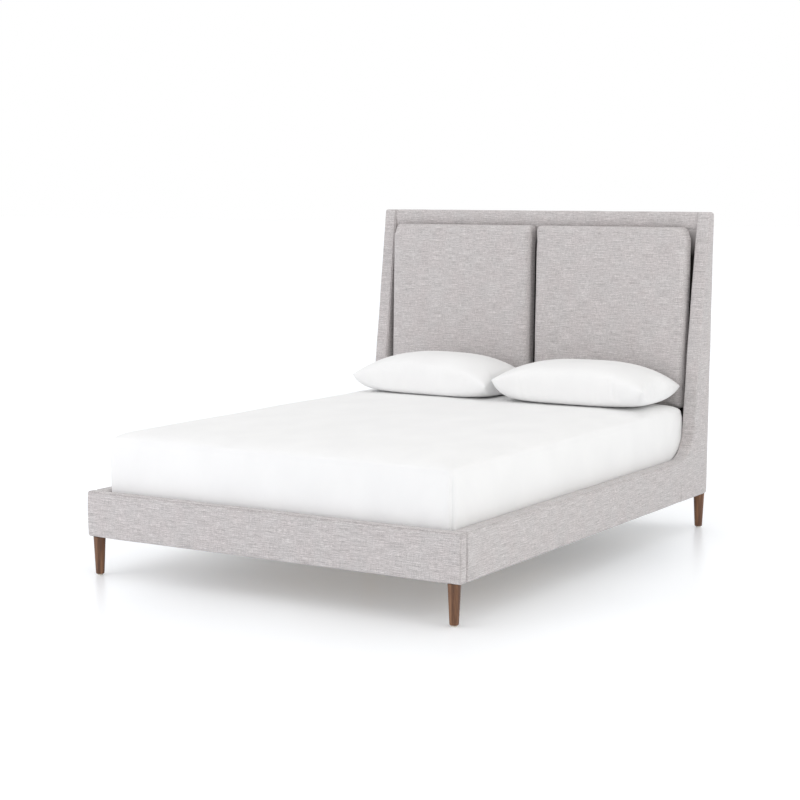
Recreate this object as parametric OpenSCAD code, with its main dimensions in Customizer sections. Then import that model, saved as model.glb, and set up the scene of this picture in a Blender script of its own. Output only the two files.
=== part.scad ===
// Queen-size upholstered bed with a slim sleigh profile: the side rails sweep up into a winged
// headboard that carries two loose cushions.  Millimetres, +Z up, +Y towards the head,
// +X to the right seen from the foot.  The origin is on the floor in the middle of the bed.

/* [Overall] */
// Width across the side rails
bed_w = 1665; // [1640:5:1700]
// Length from the foot rail's face to the top of the headboard's back
bed_l = 2242; // [2230:2:2270]
// Height of the headboard
bed_h = 1395; // [1350:5:1450]

/* [Rails] */
// Height of the legs, which is the height of the rails' bottom edge
leg_h = 153; // [140:1:170]
// Height of the foot rail and the side rails
rail_h = 178; // [170:1:190]
// Thickness of the foot rail over its upholstery
foot_t = 45; // [42:1:55]
// Thickness of the side rails and wings over their upholstery
side_t = 58; // [54:1:62]
// Thickness of the foam and fabric on every wooden core
pad_t = 10; // [9:1:10]

/* [Headboard] */
// Lean of the headboard, in degrees
headboard_rake = 1.2; // [0.5:0.1:2]
// Thickness of the panel between the wings
panel_t = 42; // [40:1:44]
// Depth of the wings at the top
wing_top_d = 55; // [50:1:60]
// Lean of the wings' front edge, in degrees
wing_lean = 7.2; // [6:0.1:8]
// Radius of the sweep from wing to side rail
sweep_r = 145; // [120:5:170]
// Radius of the wings' upper back corner
wing_corner_r = 18; // [12:1:24]

/* [Cushions] */
// Width of the gap between the two headboard cushions, and of the gap to each wing
cushion_gap = 20; // [15:1:30]
// Thickness of a headboard cushion
cushion_t = 77; // [60:1:78]
// Height of the cushions' bottom edge
cushion_bottom = 560; // [540:5:600]
// Height of the headboard left bare above the cushions
cushion_top_gap = 68; // [60:1:90]

/* [Legs] */
// Radius of a leg at the rail
leg_top_r = 23.75; // [20:0.25:26]
// Radius of a leg at the floor end
leg_bottom_r = 16.5; // [14:0.25:19]

/* [Mattress and pillows] */
// Width of the mattress
mattress_w = 1524; // [1500:1:1530]
// Length of the mattress
mattress_l = 2032; // [2000:1:2034]
// Height of the mattress
mattress_h = 300; // [250:5:320]
// Width of a filled pillow
pillow_w = 705; // [680:5:705]
// Depth of a filled pillow
pillow_l = 440; // [400:5:440]
// Height of a filled pillow
pillow_h = 176; // [150:2:190]

/* [Hidden] */
SLAT_COUNT = 13;
SUPPORT_COUNT = 3;

// Faces and levels that several parts share
foot_y = -bed_l / 2;
foot_back_y = foot_y + foot_t;
side_out_x = bed_w / 2;
side_in_x = side_out_x - side_t;
core_in_x = side_in_x + pad_t;
core_out_x = side_out_x - pad_t;
rail_top = leg_h + rail_h;
core_bottom = leg_h + pad_t;
core_top = rail_top - pad_t;
sweep_steps = 14;
// A wing meets its side rail at the foot end of the sweep
sweep_tangent = sweep_r / tan((90 + wing_lean) / 2);
joint_y = wing_front_y(rail_top) - sweep_tangent;
over = 1;

// Headboard: depths are measured forwards from its sloping back face, and each layer stops a
// hair short of the one in front of it
layer_gap = 0.05;
back_cover_t = 4;
ply_t = 6;
ply_back = panel_t - pad_t - ply_t;
pad_back = panel_t - pad_t;
post_w = 70;
panel_top = bed_h - pad_t;
bottom_rail_h = 90;
mid_rail_z = 650;
strip_t = 2.5;
strip_h = 50;
strip_w = 600;
strip_heights = [640, 940, 1240];
cushion_w = side_in_x - cushion_gap * 1.5;
cushion_top_z = bed_h - cushion_top_gap;

// Slats, ledgers and centre beam
slat_t = 18;
slat_w = 70;
slat_top = 280;
slat_bottom = slat_top - slat_t;
slat_end_gap = 2.5;
ledger_t = 25;
ledger_h = 40;
beam_w = 60;
beam_h = 60;
beam_bottom = slat_bottom - beam_h;
webbing_x = 480;
webbing_w = 30;
webbing_t = 1.5;

// Mattress
mattress_y = foot_back_y + 17;
mattress_r = 60;
rest_gap = 0.3;
slat_first_y = mattress_y + 50;
slat_pitch = (mattress_l - 100) / (SLAT_COUNT - 1);
slat_last_y = slat_first_y + slat_pitch * (SLAT_COUNT - 1);

// Pillows: centres on the mattress, and their small turns
pillow_left_at = [-318, 742, -2];
pillow_right_at = [405, 736, 2];

// Legs and levelling feet
glide_h = 6;
glide_r = 11;
glide_stem_r = 2.5;
glide_stem_l = 12;
front_leg_in = [39, 25];
rear_leg_in = [26, 25];
support_w = 45;
support_first_y = foot_y + 740;
support_pitch = 450;
support_bottom = 20;
leveller_pad_r = 16;
leveller_pad_h = 6;
leveller_stem_l = 40;

// Fasteners
bolt_r = 4;
bolt_hole_r = 4.6;
bolt_l = 33;
bolt_head_r = 7;
bolt_head_h = 4.5;
socket_r = 2.9;
socket_depth = 2.5;
insert_r = 6;
insert_l = 20;
thread_gap = 0.05;
insert_recess = 0.5;
plate_t = 3;
plate_z = 170;
plate_h = 45;
plate_bolt_zs = [180, 205];
bracket_leg = 55;
bracket_bolt_in = 34;
joint_plate_half = 60;
joint_bolt_out = 36;
hanger_bolt_x = 44;
hanger_bolt_z = 225;
hanger_half_w = 55;
hanger_seat_l = 50;
headboard_bolt_zs = [420, 880, 1260];
headboard_bolt_depth = 18;
headboard_bolt_l = post_w + pad_t + insert_l;
hanger_bolt_below = 40;
hanger_bolt_above = 30;
screw_count = 6;
screw_first_y = -1000;
screw_pitch = 380;
screw_r = 2.5;
screw_head_r = 5;
screw_head_h = 3;
screw_l = 50;

fabric_grey = [0.75, 0.73, 0.72];
timber = [0.80, 0.66, 0.47];
plywood = [0.86, 0.74, 0.56];
walnut = [0.42, 0.30, 0.22];
steel = [0.72, 0.73, 0.75];
white = [0.95, 0.95, 0.95];
nylon = [0.80, 0.77, 0.70];
black = [0.15, 0.15, 0.15];

slat_names = [for (i = [1 : SLAT_COUNT]) str("slat_", i)];

// ---- Outlines -------------------------------------------------------------------------------

function back_y(z) = bed_l / 2 - (bed_h - z) * tan(headboard_rake);

function panel_front_y(z) = back_y(z) - panel_t;

function wing_front_y(z) = bed_l / 2 - wing_top_d - (bed_h - z) * tan(wing_lean);

function arc(centre, rx, ry, from, to, steps) =
    [for (i = [0 : steps])
        let (a = from + (to - from) * i / steps)
        centre + [rx * cos(a), ry * sin(a)]];

function rounded_rect(low, high, r) =
    concat(arc([high.x - r, low.y + r], r, r, -90, 0, 6),
           arc([high.x - r, high.y - r], r, r, 0, 90, 6),
           arc([low.x + r, high.y - r], r, r, 90, 180, 6),
           arc([low.x + r, low.y + r], r, r, 180, 270, 6));

// Side view of a wing as [y, z] points, drawn in from its surface by inset on every edge but
// the one that meets the side rail
function wing_profile(inset) =
    let (sweep_centre = [joint_y, rail_top + sweep_r],
         sweep = sweep_r + inset,
         corner_z = bed_h - wing_corner_r,
         corner_centre = [back_y(corner_z) - wing_corner_r / cos(headboard_rake), corner_z],
         corner = wing_corner_r - inset,
         top = bed_h - inset,
         bottom = leg_h + inset)
    concat([[joint_y, bottom],
            [back_y(bottom) - inset / cos(headboard_rake), bottom]],
           arc(corner_centre, corner, corner, -headboard_rake, 90, 6),
           [[wing_front_y(top) + inset / cos(wing_lean), top]],
           arc(sweep_centre, sweep, sweep, -wing_lean, -90, sweep_steps));

// ---- Shared solids --------------------------------------------------------------------------

// Stands a [y, z] outline up and runs it along X between two values
module along_x(x0, x1)
    translate([x0, 0, 0])
        rotate([90, 0, 90])
            linear_extrude(x1 - x0)
                children();

// A box between its low and high corners
module box(low, high)
    translate(low)
        cube(high - low);

// A board that leans with the headboard, between two widths, heights and depths from the back
module raked_board(x0, x1, z0, z1, depth0, depth1)
    let (front = depth1 - layer_gap)
        along_x(x0, x1)
            polygon([[back_y(z0) - front, z0],
                     [back_y(z0) - depth0, z0],
                     [back_y(z1) - depth0, z1],
                     [back_y(z1) - front, z1]]);

// Every part that comes as a pair is drawn on the right and mirrored for the left
module on_side(side)
    mirror([side < 0 ? 1 : 0, 0, 0])
        children();

// ---- Where the fasteners sit.  Local +Z runs the way the fastener is driven --------------------

module frame_bolt_places()
    for (side = [-1, 1]) {
        for (z = plate_bolt_zs) {
            translate([side * (side_in_x - bracket_bolt_in), foot_back_y + plate_t, z])
                rotate([90, 0, 0])
                    children();
            translate([side * (side_in_x - plate_t), foot_back_y + bracket_bolt_in, z])
                rotate([0, side * 90, 0])
                    children();
            for (end = [-1, 1])
                translate([side * (side_in_x - plate_t), joint_y + end * joint_bolt_out, z])
                    rotate([0, side * 90, 0])
                        children();
        }
        translate([side * hanger_bolt_x, foot_back_y + plate_t, hanger_bolt_z])
            rotate([90, 0, 0])
                children();
        translate([side * hanger_bolt_x, panel_front_y(hanger_bolt_z) - plate_t, hanger_bolt_z])
            rotate([-90 - headboard_rake, 0, 0])
                children();
    }

module headboard_bolt_places()
    for (side = [-1, 1], z = headboard_bolt_zs)
        translate([side * (side_in_x - post_w), back_y(z) - headboard_bolt_depth, z])
            rotate([0, side * 90, 0])
                children();

module ledger_screw_places()
    for (side = [-1, 1], i = [0 : screw_count - 1])
        translate([side * (side_in_x - ledger_t),
                   screw_first_y + screw_pitch * i,
                   slat_bottom - ledger_h / 2])
            rotate([0, side * 90, 0])
                children();

module corner_leg_places() {
    for (side = [-1, 1]) {
        translate([side * (side_out_x - front_leg_in.x), foot_y + front_leg_in.y, leg_h])
            children();
        translate([side * (side_out_x - rear_leg_in.x), back_y(leg_h) - rear_leg_in.y, leg_h])
            children();
    }
}

module support_leg_places()
    for (i = [0 : SUPPORT_COUNT - 1])
        translate([0, support_first_y + support_pitch * i, beam_bottom])
            children();

// ---- Holes for the fasteners ------------------------------------------------------------------

module clear_hole(length, r = bolt_hole_r)
    translate([0, 0, -over])
        cylinder(h = length + over, r = r, $fn = 32);

module insert_hole(depth)
    clear_hole(depth + insert_l + 2 * insert_recess, insert_r + thread_gap);

// Holes through soft layers and plates, which only the bolts' shanks pass
module shank_holes() {
    frame_bolt_places()
        clear_hole(bolt_l);
    headboard_bolt_places()
        clear_hole(headboard_bolt_l);
    ledger_screw_places()
        clear_hole(screw_l, screw_r + 0.5);
    corner_leg_places()
        clear_hole(hanger_bolt_above);
}

// Holes in the wooden cores, which hold the threaded inserts and the screws
module core_holes() {
    frame_bolt_places()
        insert_hole(plate_t + pad_t);
    headboard_bolt_places()
        insert_hole(post_w + pad_t);
    ledger_screw_places()
        clear_hole(screw_l + screw_head_h + 4, screw_r + thread_gap);
    corner_leg_places()
        insert_hole(pad_t);
}

// ---- Foot rail and side rails -------------------------------------------------------------------

module foot_rail_core()
    color(timber)
        difference() {
            box([-core_out_x, foot_y + pad_t, core_bottom],
                [core_out_x, foot_back_y - pad_t, core_top]);
            core_holes();
        }

module foot_rail_upholstery()
    color(fabric_grey)
        difference() {
            translate([0, 0, leg_h])
                linear_extrude(rail_h)
                    polygon(rounded_rect([-side_out_x, foot_y], [side_out_x, foot_back_y], 12));
            box([-core_out_x, foot_y + pad_t, core_bottom],
                [core_out_x, foot_back_y - pad_t, core_top]);
            shank_holes();
        }

module side_rail_core(side)
    color(timber)
        difference() {
            on_side(side)
                box([core_in_x, foot_back_y, core_bottom], [core_out_x, joint_y, core_top]);
            core_holes();
        }

module side_rail_upholstery(side)
    color(fabric_grey)
        difference() {
            on_side(side)
                translate([0, joint_y, 0])
                    rotate([90, 0, 0])
                        linear_extrude(joint_y - foot_back_y)
                            polygon(rounded_rect([side_in_x, leg_h], [side_out_x, rail_top], 6));
            on_side(side)
                box([core_in_x, foot_back_y - over, core_bottom],
                    [core_out_x, joint_y + over, core_top]);
            shank_holes();
        }

module slat_ledger(side)
    color(timber)
        difference() {
            on_side(side)
                box([side_in_x - ledger_t, foot_back_y + 2, slat_bottom - ledger_h],
                    [side_in_x, panel_front_y(slat_bottom) - 25, slat_bottom]);
            ledger_screw_places() {
                clear_hole(ledger_t + over, screw_r + thread_gap);
                clear_hole(screw_head_h + over, screw_head_r + 0.3);
            }
        }

// ---- Wings -----------------------------------------------------------------------------------------

module wing_core(side)
    color(timber)
        difference() {
            on_side(side)
                along_x(core_in_x, core_out_x)
                    polygon(wing_profile(pad_t));
            core_holes();
        }

module wing_upholstery(side)
    color(fabric_grey)
        difference() {
            on_side(side)
                along_x(side_in_x, side_out_x)
                    polygon(wing_profile(0));
            on_side(side)
                along_x(core_in_x, core_out_x)
                    polygon(wing_profile(pad_t));
            shank_holes();
        }

// ---- Headboard panel -------------------------------------------------------------------------------

module headboard_post(side)
    color(timber)
        difference() {
            on_side(side)
                raked_board(side_in_x - post_w, side_in_x, core_bottom, panel_top,
                            back_cover_t, ply_back);
            headboard_bolt_places()
                clear_hole(post_w + over);
        }

// A rail of the frame, between the posts
module headboard_rail(z0, z1)
    raked_board(-side_in_x + post_w, side_in_x - post_w, z0, z1, back_cover_t, ply_back);

module headboard_top_rail()
    color(timber)
        headboard_rail(panel_top - post_w, panel_top);

module headboard_mid_rail()
    color(timber)
        headboard_rail(mid_rail_z, mid_rail_z + post_w);

module headboard_bottom_rail()
    color(timber)
        difference() {
            headboard_rail(core_bottom, core_bottom + bottom_rail_h);
            frame_bolt_places()
                insert_hole(plate_t + pad_t);
        }

module headboard_front_panel()
    color(plywood)
        difference() {
            raked_board(-side_in_x, side_in_x, core_bottom, panel_top, ply_back, pad_back);
            frame_bolt_places()
                insert_hole(plate_t + pad_t);
        }

module headboard_upholstery()
    color(fabric_grey)
        difference() {
            raked_board(-side_in_x, side_in_x, leg_h, bed_h, back_cover_t, panel_t);
            raked_board(-side_in_x - over, side_in_x + over, core_bottom, panel_top,
                        back_cover_t - over, pad_back + layer_gap);
            frame_bolt_places()
                clear_hole(bolt_l);
        }

module headboard_back_cover()
    color(fabric_grey)
        raked_board(-side_in_x, side_in_x, leg_h, bed_h, 0, back_cover_t);

// ---- Headboard cushions ------------------------------------------------------------------------------

// Front view of the right cushion: a soft upper outer corner and small radii elsewhere
function cushion_outline(height) =
    let (inner_x = cushion_gap / 2,
         outer_x = inner_x + cushion_w)
    concat(arc([outer_x - 20, 20], 20, 20, -90, 0, 6),
           arc([outer_x - 30, height - 75], 30, 75, 0, 90, 8),
           arc([inner_x + 20, height - 20], 20, 20, 90, 180, 6),
           arc([inner_x + 20, 20], 20, 20, 180, 270, 6));

module cushion(side)
    color(fabric_grey)
        on_side(side)
            translate([0, panel_front_y(cushion_bottom) - strip_t, cushion_bottom])
                rotate([-headboard_rake, 0, 0])
                    rotate([90, 0, 0])
                        linear_extrude(cushion_t)
                            polygon(cushion_outline(cushion_top_z - cushion_bottom));

module cushion_fastener_strips()
    color(black)
        for (side = [-1, 1], z = strip_heights)
            translate([side * (cushion_gap + cushion_w) / 2, 0, 0])
                raked_board(-strip_w / 2, strip_w / 2, z, z + strip_h, panel_t, panel_t + strip_t);

// ---- Legs --------------------------------------------------------------------------------------------

module leg(at)
    color(walnut)
        translate([at.x, at.y, 0])
            difference() {
                translate([0, 0, glide_h])
                    cylinder(h = leg_h - glide_h, r1 = leg_bottom_r, r2 = leg_top_r, $fn = 64);
                translate([0, 0, leg_h - hanger_bolt_below - over])
                    cylinder(h = hanger_bolt_below + 2 * over, r = bolt_r + thread_gap, $fn = 32);
                translate([0, 0, glide_h - over])
                    cylinder(h = glide_stem_l + 2 * over, r = glide_stem_r + thread_gap, $fn = 32);
            }

function front_leg_at(side) = [side * (side_out_x - front_leg_in.x), foot_y + front_leg_in.y];

function rear_leg_at(side) = [side * (side_out_x - rear_leg_in.x), back_y(leg_h) - rear_leg_in.y];

module leg_glides()
    color(nylon)
        corner_leg_places()
            translate([0, 0, -leg_h]) {
                cylinder(h = glide_h, r = glide_r, $fn = 48);
                cylinder(h = glide_h + glide_stem_l, r = glide_stem_r, $fn = 32);
            }

module hanger_bolt()
    translate([0, 0, -hanger_bolt_below])
        cylinder(h = hanger_bolt_below + hanger_bolt_above, r = bolt_r, $fn = 32);

module leg_hanger_bolts()
    color(steel) {
        corner_leg_places()
            hanger_bolt();
        support_leg_places()
            hanger_bolt();
    }

// ---- Slats and their supports ------------------------------------------------------------------------

module slat(number)
    color(plywood)
        translate([0, slat_first_y + slat_pitch * (number - 1), slat_bottom])
            box([-side_in_x + slat_end_gap, -slat_w / 2, 0],
                [side_in_x - slat_end_gap, slat_w / 2, slat_t]);

module slat_webbing()
    color(white)
        for (side = [-1, 1])
            box([side * webbing_x - webbing_w / 2, slat_first_y - slat_w / 2, slat_bottom - webbing_t],
                [side * webbing_x + webbing_w / 2, slat_last_y + slat_w / 2, slat_bottom]);

module centre_beam()
    color(timber)
        difference() {
            box([-beam_w / 2, foot_back_y + plate_t + 1, beam_bottom],
                [beam_w / 2, panel_front_y(beam_bottom) - plate_t - 2, slat_bottom]);
            support_leg_places()
                insert_hole(2 * over + hanger_bolt_above - insert_l);
        }

// The cheeks and seat of a hanger that holds one end of the centre beam
module hanger_cradle(y0, y1) {
    box([-beam_w / 2 - plate_t, y0, beam_bottom - plate_t], [beam_w / 2 + plate_t, y1, beam_bottom]);
    for (side = [-1, 1])
        on_side(side)
            box([beam_w / 2, y0, beam_bottom - plate_t], [beam_w / 2 + plate_t, y1, slat_bottom - 20]);
}

module beam_hangers()
    color(steel) {
        difference() {
            box([-hanger_half_w, foot_back_y, beam_bottom - 12],
                [hanger_half_w, foot_back_y + plate_t, slat_bottom - 2]);
            frame_bolt_places()
                clear_hole(bolt_l);
        }
        hanger_cradle(foot_back_y + 1, foot_back_y + hanger_seat_l);
        difference() {
            raked_board(-hanger_half_w, hanger_half_w, beam_bottom - 12, slat_bottom - 2,
                        panel_t, panel_t + plate_t);
            frame_bolt_places()
                clear_hole(bolt_l);
        }
        hanger_cradle(panel_front_y(beam_bottom) - hanger_seat_l, panel_front_y(beam_bottom) - 1);
    }

module support_leg(number)
    color(timber)
        translate([0, support_first_y + support_pitch * (number - 1), 0])
            difference() {
                box([-support_w / 2, -support_w / 2, support_bottom],
                    [support_w / 2, support_w / 2, beam_bottom]);
                translate([0, 0, beam_bottom - hanger_bolt_below - over])
                    cylinder(h = hanger_bolt_below + 2 * over, r = bolt_r + thread_gap, $fn = 32);
                translate([0, 0, support_bottom])
                    clear_hole(insert_l + 2 * insert_recess, insert_r + thread_gap);
                translate([0, 0, support_bottom])
                    clear_hole(leveller_stem_l + 20);
            }

module leveller(number)
    color(steel)
        translate([0, support_first_y + support_pitch * (number - 1), 0]) {
            cylinder(h = leveller_pad_h, r = leveller_pad_r, $fn = 48);
            cylinder(h = leveller_pad_h + leveller_stem_l, r = bolt_r, $fn = 32);
        }

// ---- Steel fittings --------------------------------------------------------------------------------

module corner_brackets()
    color(steel)
        difference() {
            for (side = [-1, 1])
                on_side(side) {
                    box([side_in_x - bracket_leg, foot_back_y, plate_z],
                        [side_in_x, foot_back_y + plate_t, plate_z + plate_h]);
                    box([side_in_x - plate_t, foot_back_y, plate_z],
                        [side_in_x, foot_back_y + bracket_leg, plate_z + plate_h]);
                }
            frame_bolt_places()
                clear_hole(bolt_l);
        }

module rail_joint_plates()
    color(steel)
        difference() {
            for (side = [-1, 1])
                on_side(side)
                    box([side_in_x - plate_t, joint_y - joint_plate_half, plate_z],
                        [side_in_x, joint_y + joint_plate_half, plate_z + plate_h]);
            frame_bolt_places()
                clear_hole(bolt_l);
        }

// A button-head bolt with its hexagon socket; the underside of its head is at the local origin
module button_bolt(length)
    difference() {
        union() {
            cylinder(h = length, r = bolt_r, $fn = 32);
            translate([0, 0, -bolt_head_h])
                cylinder(h = bolt_head_h, r1 = bolt_head_r - 2, r2 = bolt_head_r, $fn = 48);
        }
        translate([0, 0, -bolt_head_h - over])
            cylinder(h = socket_depth + over, r = socket_r, $fn = 6);
    }

module frame_bolts()
    color(steel)
        frame_bolt_places()
            button_bolt(bolt_l);

module headboard_bolts()
    color(steel)
        headboard_bolt_places()
            button_bolt(headboard_bolt_l);

module ledger_screws()
    color(steel)
        ledger_screw_places() {
            translate([0, 0, 0.5])
                cylinder(h = screw_head_h, r = screw_head_r, $fn = 32);
            translate([0, 0, 0.5])
                cylinder(h = screw_head_h + screw_l, r = screw_r, $fn = 32);
        }

module threaded_insert()
    difference() {
        cylinder(h = insert_l, r = insert_r, $fn = 32);
        translate([0, 0, -over])
            cylinder(h = insert_l + 2 * over, r = bolt_r + thread_gap, $fn = 32);
    }

module threaded_inserts()
    color(steel) {
        frame_bolt_places()
            translate([0, 0, plate_t + pad_t + insert_recess])
                threaded_insert();
        headboard_bolt_places()
            translate([0, 0, post_w + pad_t + insert_recess])
                threaded_insert();
        corner_leg_places()
            translate([0, 0, pad_t + insert_recess])
                threaded_insert();
        support_leg_places()
            translate([0, 0, insert_recess])
                threaded_insert();
        support_leg_places()
            translate([0, 0, support_bottom - beam_bottom + insert_recess])
                threaded_insert();
    }

// ---- Mattress and pillows ------------------------------------------------------------------------------

module mattress()
    color(white)
        translate([0, 0, slat_top + rest_gap])
            linear_extrude(mattress_h - rest_gap)
                polygon(rounded_rect([-mattress_w / 2, mattress_y],
                                     [mattress_w / 2, mattress_y + mattress_l],
                                     mattress_r));

// A filled pillow: four drawn-out corners at mid height, a flat underside and a crowned top
module pillow(at)
    color(white)
        translate([at.x, at.y, slat_top + mattress_h + rest_gap])
            rotate([0, 0, at.z])
                hull() {
                    for (sx = [-1, 1], sy = [-1, 1])
                        translate([sx * (pillow_w / 2 - 16), sy * (pillow_l / 2 - 16), pillow_h * 0.38])
                            sphere(r = 16, $fn = 20);
                    translate([-pillow_w * 0.40, -pillow_l * 0.40, 0])
                        cube([pillow_w * 0.80, pillow_l * 0.80, 1]);
                    translate([0, 0, pillow_h * 0.6])
                        scale([pillow_w * 0.40, pillow_l * 0.40, pillow_h * 0.4])
                            sphere(r = 1, $fn = 32);
                }

foot_rail_core();
foot_rail_upholstery();
side_rail_core(-1);  // side_rail_core_left
side_rail_core(1);  // side_rail_core_right
side_rail_upholstery(-1);  // side_rail_upholstery_left
side_rail_upholstery(1);  // side_rail_upholstery_right
slat_ledger(-1);  // slat_ledger_left
slat_ledger(1);  // slat_ledger_right
ledger_screws();
wing_core(-1);  // wing_core_left
wing_core(1);  // wing_core_right
wing_upholstery(-1);  // wing_upholstery_left
wing_upholstery(1);  // wing_upholstery_right
headboard_post(-1);  // headboard_post_left
headboard_post(1);  // headboard_post_right
headboard_top_rail();
headboard_mid_rail();
headboard_bottom_rail();
headboard_front_panel();
headboard_upholstery();
headboard_back_cover();
headboard_bolts();
cushion(-1);  // cushion_left
cushion(1);  // cushion_right
cushion_fastener_strips();
leg(front_leg_at(-1));  // leg_front_left
leg(front_leg_at(1));  // leg_front_right
leg(rear_leg_at(-1));  // leg_rear_left
leg(rear_leg_at(1));  // leg_rear_right
leg_hanger_bolts();
leg_glides();
threaded_inserts();
centre_beam();
beam_hangers();
support_leg(1);  // support_leg_1
support_leg(2);  // support_leg_2
support_leg(3);  // support_leg_3
leveller(1);  // leveller_1
leveller(2);  // leveller_2
leveller(3);  // leveller_3
slat_webbing();
corner_brackets();
rail_joint_plates();
frame_bolts();
mattress();
pillow(pillow_left_at);  // pillow_left
pillow(pillow_right_at);  // pillow_right
for (i = [1 : SLAT_COUNT])
    slat(i);
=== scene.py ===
"""Looks of an upholstered bed with a winged headboard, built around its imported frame.

Lengths are in metres.  The origin is on the floor under the middle of the bed, +Y runs to the
headboard, and +X is on the right seen from the foot end."""

import math

import bmesh
import bpy
import numpy as np
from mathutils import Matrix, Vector


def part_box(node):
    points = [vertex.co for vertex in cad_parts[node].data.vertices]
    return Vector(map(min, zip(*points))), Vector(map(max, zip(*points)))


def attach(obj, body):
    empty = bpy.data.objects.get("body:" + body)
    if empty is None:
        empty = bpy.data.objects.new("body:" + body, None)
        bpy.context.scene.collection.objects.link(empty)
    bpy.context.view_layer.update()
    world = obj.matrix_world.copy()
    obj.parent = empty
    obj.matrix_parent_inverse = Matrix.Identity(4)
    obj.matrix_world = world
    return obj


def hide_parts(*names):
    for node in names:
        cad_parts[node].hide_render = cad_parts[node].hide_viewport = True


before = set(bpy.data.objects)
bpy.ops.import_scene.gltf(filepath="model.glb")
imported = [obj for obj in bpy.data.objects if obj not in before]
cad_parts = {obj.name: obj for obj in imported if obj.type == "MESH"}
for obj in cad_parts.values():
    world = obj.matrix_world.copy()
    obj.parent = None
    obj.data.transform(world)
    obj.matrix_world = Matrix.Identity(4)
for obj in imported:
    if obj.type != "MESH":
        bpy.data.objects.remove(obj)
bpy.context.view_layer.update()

# ---- Driving sizes ---------------------------------------------------------------------------

HEADBOARD_RAKE = math.radians(1.2)
COVER_THICKNESS = 0.004
PANEL_THICKNESS = 0.042
STRIP_THICKNESS = 0.0025

# The padding of the wings' front edge leans a little more than the boards inside it.
WING_LEAN = math.radians(7.5)
WING_TOP_DEPTH = 0.055
WING_CORNER_RADIUS = 0.018
WING_HEEL_RADIUS = 0.010
WING_CREST_DRAW = 0.4
WING_PUFF = 0.005

# Soft edges and joints of the rails and wings, and the distance between a skin's rings.
EDGE_RADIUS = 0.009
FOOT_JOINT_RADIUS = 0.008
FOOT_JOINT_GAP = 0.004
WING_JOINT_RADIUS = 0.0035
STEP = 0.016

# A seam's groove, and the raised lips beside it.
SEAM_DEPTH = 0.0022
SEAM_WIDTH = 0.0011
SEAM_LIP = 0.0004
SEAM_LIP_OUT = 0.0032
FOOT_SEAM_SIZE = 1.5
NO_SEAM_NEAR = 1.0

# ---- Places read from the frame --------------------------------------------------------------

rail_low, rail_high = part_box("side_rail_upholstery_right")
foot_low, foot_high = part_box("foot_rail_upholstery")
wing_low, wing_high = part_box("wing_upholstery_right")
_, back_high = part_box("headboard_back_cover")
mattress_low, mattress_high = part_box("mattress")

SIDE_IN = rail_low.x
SIDE_THICKNESS = rail_high.x - rail_low.x
RAIL_BOTTOM = rail_low.z
RAIL_TOP = rail_high.z
BED_TOP = wing_high.z
JOINT_Y = wing_low.y
BACK_Y = back_high.y


def back_y(z):
    """The headboard's sloping back face at a height."""
    return BACK_Y - (BED_TOP - z) * math.tan(HEADBOARD_RAKE)


def wing_front_y(z):
    """The wings' straight front edge at a height above the sweep."""
    return BACK_Y - WING_TOP_DEPTH - (BED_TOP - z) * math.tan(WING_LEAN)


SWEEP_TANGENT = wing_front_y(RAIL_TOP) - JOINT_Y
SWEEP_RADIUS = SWEEP_TANGENT * math.tan((math.pi / 2 + WING_LEAN) / 2)


# ---- Materials -------------------------------------------------------------------------------


def add_node(tree, kind, inputs=None, **settings):
    """A shader node; each input, by name or number, is a value or a socket to link."""
    node = tree.nodes.new("ShaderNode" + kind)
    for key, value in settings.items():
        setattr(node, key, value)
    for key, value in (inputs or {}).items():
        if isinstance(value, bpy.types.NodeSocket):
            tree.links.new(value, node.inputs[key])
        else:
            node.inputs[key].default_value = value
    return node


def new_material(name, constants):
    """A material, its node tree and its shader, with the shader's fixed values set."""
    material = bpy.data.materials.new(name)
    material.use_nodes = True
    tree = material.node_tree
    shader = tree.nodes["Principled BSDF"]
    for socket, value in constants.items():
        shader.inputs[socket].default_value = value
    return material, tree, shader


def object_place(tree):
    return add_node(tree, "TexCoord").outputs["Object"]


def woven_place(tree):
    return add_node(tree, "UVMap", uv_map="weave").outputs["UV"]


def noise(tree, place, lumps_per_metre, detail=3.0):
    """Noise whose lumps are stretched by a different number per metre on each axis."""
    scaled = add_node(tree, "VectorMath", {0: place, 1: lumps_per_metre}, operation="MULTIPLY")
    return add_node(
        tree, "TexNoise", {"Vector": scaled.outputs[0], "Scale": 1.0, "Detail": detail}
    ).outputs[0]


def calc(tree, operation, a, b=0.0):
    """One sum on two values or sockets."""
    return add_node(tree, "Math", {0: a, 1: b}, operation=operation).outputs[0]


def weighted(tree, parts):
    """The sum of sockets, each times its weight."""
    total = None
    for socket, weight in parts:
        part = calc(tree, "MULTIPLY", socket, weight)
        total = part if total is None else calc(tree, "ADD", total, part)
    return total


def ramp(tree, value, stops):
    """Colours along a value; stops are (position, (red, green, blue))."""
    node = add_node(tree, "ValToRGB", {0: value})
    elements = node.color_ramp.elements
    while len(elements) < len(stops):
        elements.new(0.5)
    for element, (position, colour) in zip(elements, stops):
        element.position = position
        element.color = (*colour, 1.0)
    return node.outputs[0]


def mixed(tree, share, a, b, how="MIX"):
    """Two colours mixed; 6 and 7 are the node's colour sockets."""
    return add_node(
        tree, "Mix", {0: share, 6: a, 7: b}, data_type="RGBA", blend_type=how
    ).outputs[2]


def bump(tree, shader, height, distance, strength=1.0):
    node = add_node(tree, "Bump", {"Height": height, "Distance": distance, "Strength": strength})
    tree.links.new(node.outputs[0], shader.inputs["Normal"])


def link(tree, socket, shader, name):
    tree.links.new(socket, shader.inputs[name])


def roughen(tree, shader, value, rough_at_0, rough_at_1):
    """Roughness that runs from one number to another while a value goes from 0 to 1."""
    spread = add_node(tree, "MapRange", {0: value, 3: rough_at_0, 4: rough_at_1})
    link(tree, spread.outputs[0], shader, "Roughness")


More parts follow.
